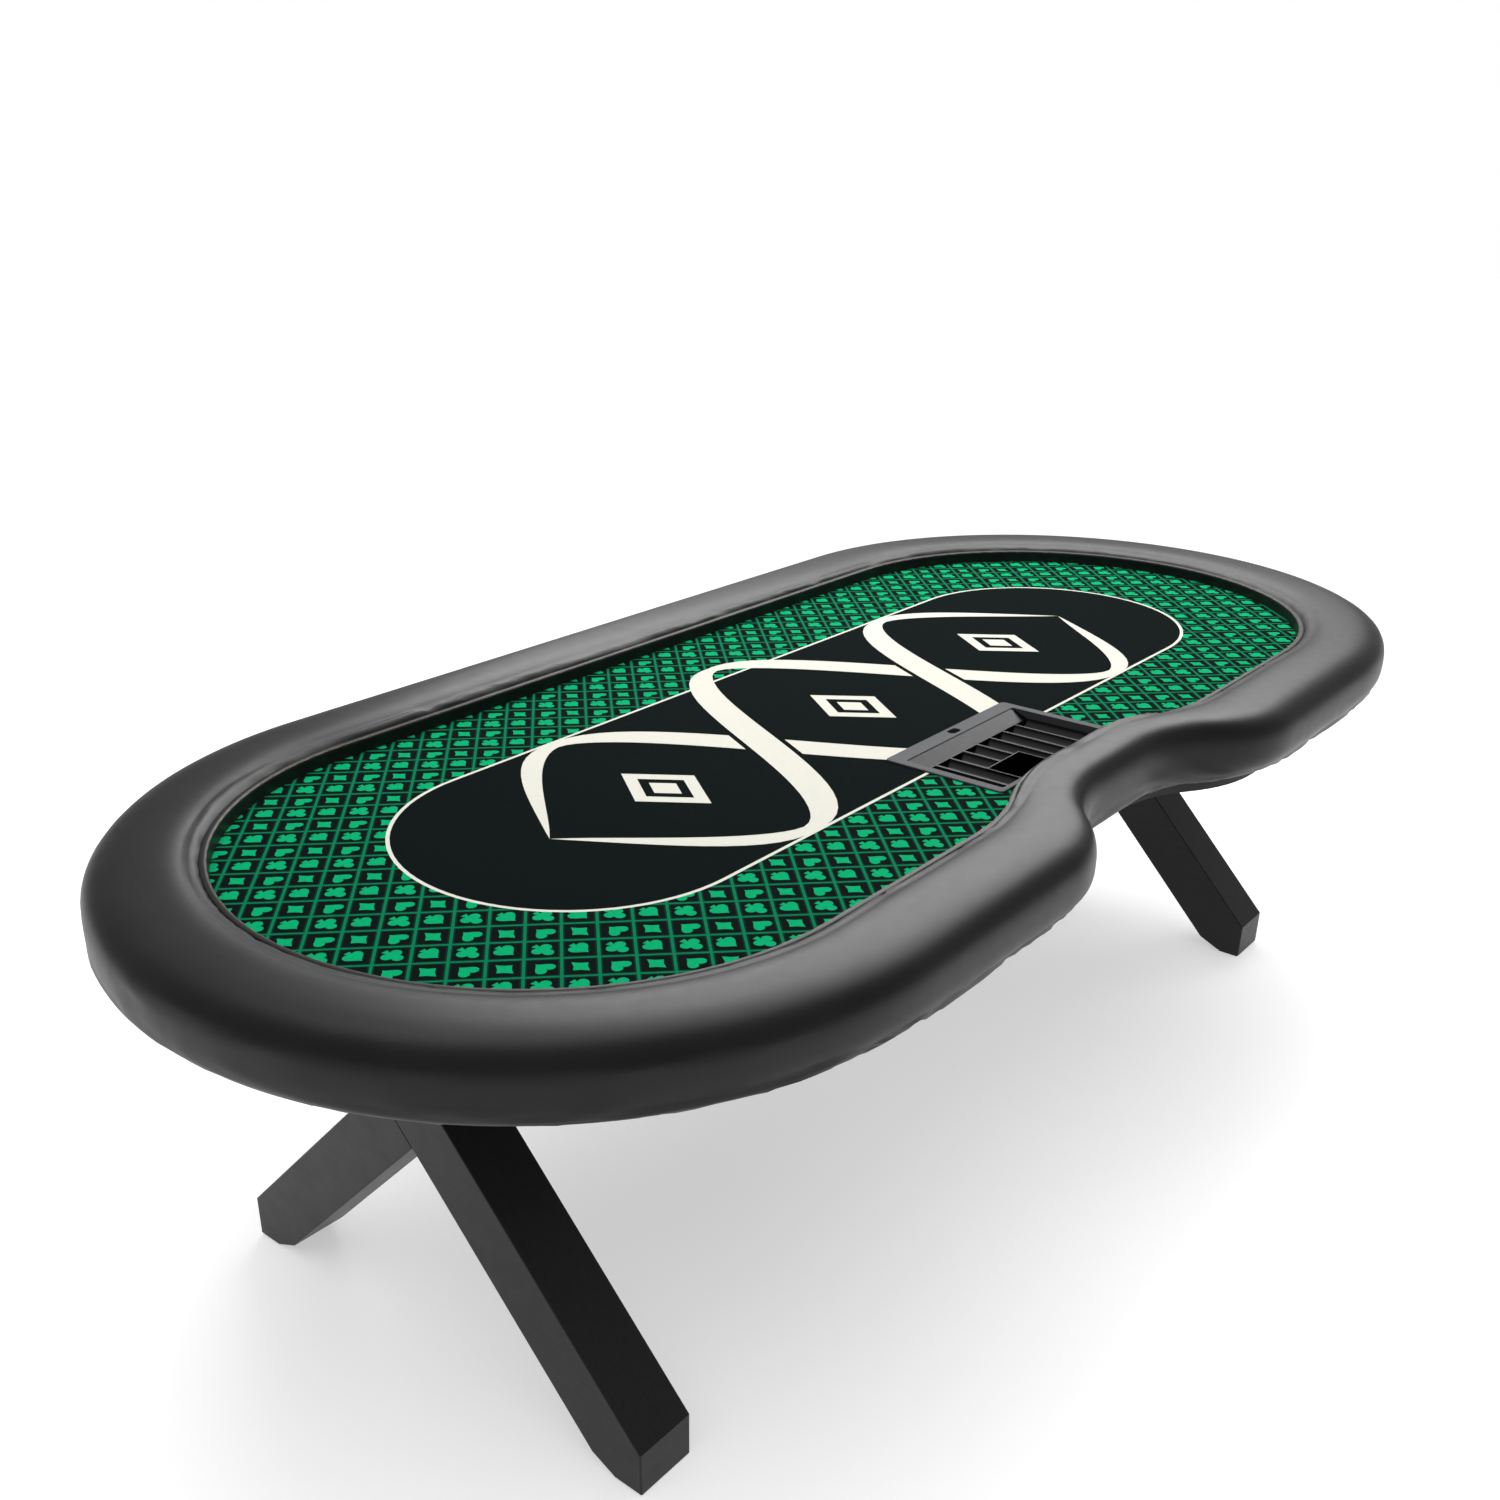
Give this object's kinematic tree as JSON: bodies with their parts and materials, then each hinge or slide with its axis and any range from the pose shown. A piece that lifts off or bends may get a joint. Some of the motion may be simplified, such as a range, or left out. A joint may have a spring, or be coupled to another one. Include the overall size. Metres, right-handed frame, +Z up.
{
  "type": "oval card table",
  "caption": "Oval casino card table with a padded rail, dealer bay, printed cloth, recessed chip tray and crossed timber legs.",
  "frame": {"origin": "on the floor under the middle of the cloth, the centre of the bounding box bottom", "axes": "+X along the table, +Z up, the dealer stands on the -Y side"},
  "size_m": [2.5996, 1.21, 0.74],
  "materials": {
    "black_painted_timber": "satin black paint over solid timber",
    "birch_plywood": "sanded plywood",
    "painted_base_board": "black stained plywood",
    "pine_batten": "planed pine",
    "black_leatherette": "satin black leatherette",
    "foam": "grey upholstery foam",
    "firm_foam": "dense grey foam",
    "printed_speed_cloth": "printed low-friction cloth, green on near-black",
    "zinc_steel": "zinc plated steel",
    "yellow_zinc_screw": "yellow passivated steel screws",
    "felt_pad": "dense black felt",
    "tray_frame_grey": "dark grey satin coat",
    "tray_gloss_black": "glossy black moulded plastic"
  },
  "bodies": {
    "table": {"barrel_nuts": "zinc_steel", "base_board": "painted_base_board", "batten_screws": "yellow_zinc_screw", "bracket_lag_screws": "zinc_steel", "cleat_screws": "yellow_zinc_screw", "cross_batten_left": "pine_batten", "cross_batten_right": "pine_batten", "cross_bolts": "zinc_steel", "cross_washers": "zinc_steel", "end_batten_left": "pine_batten", "end_batten_right": "pine_batten", "foot_pads": "felt_pad", "front_side_batten_left": "pine_batten", "front_side_batten_right": "pine_batten", "inner_trim_board": "birch_plywood", "inner_trim_cover": "black_leatherette", "left_frame_front_beam": "black_painted_timber", "left_frame_rear_beam": "black_painted_timber", "left_leg_cleat": "black_painted_timber", "leg_brackets": "zinc_steel", "playfield_board": "birch_plywood", "playfield_foam": "foam", "playfield_screws": "yellow_zinc_screw", "rail_base": "birch_plywood", "rail_bolts": "zinc_steel", "rail_cover": "black_leatherette", "rail_foam_core": "firm_foam", "rail_foam_roll": "foam", "rail_t_nuts": "zinc_steel", "rail_washers": "zinc_steel", "rear_side_batten": "pine_batten", "right_frame_front_beam": "black_painted_timber", "right_frame_rear_beam": "black_painted_timber", "right_leg_cleat": "black_painted_timber", "speed_cloth": "printed_speed_cloth", "stretcher": "black_painted_timber", "tray_batten_left": "pine_batten", "tray_batten_right": "pine_batten"},
    "chip_tray": {"tray_frame": "tray_frame_grey", "tray_rows": "tray_gloss_black", "tray_deck_box": "tray_gloss_black"}
  },
  "joints": [
    {"name": "tray_lift", "type": "slide", "parent": "table", "child": "chip_tray", "axis": [0, 0, 1], "range_m": [0, 0.15]}
  ]
}
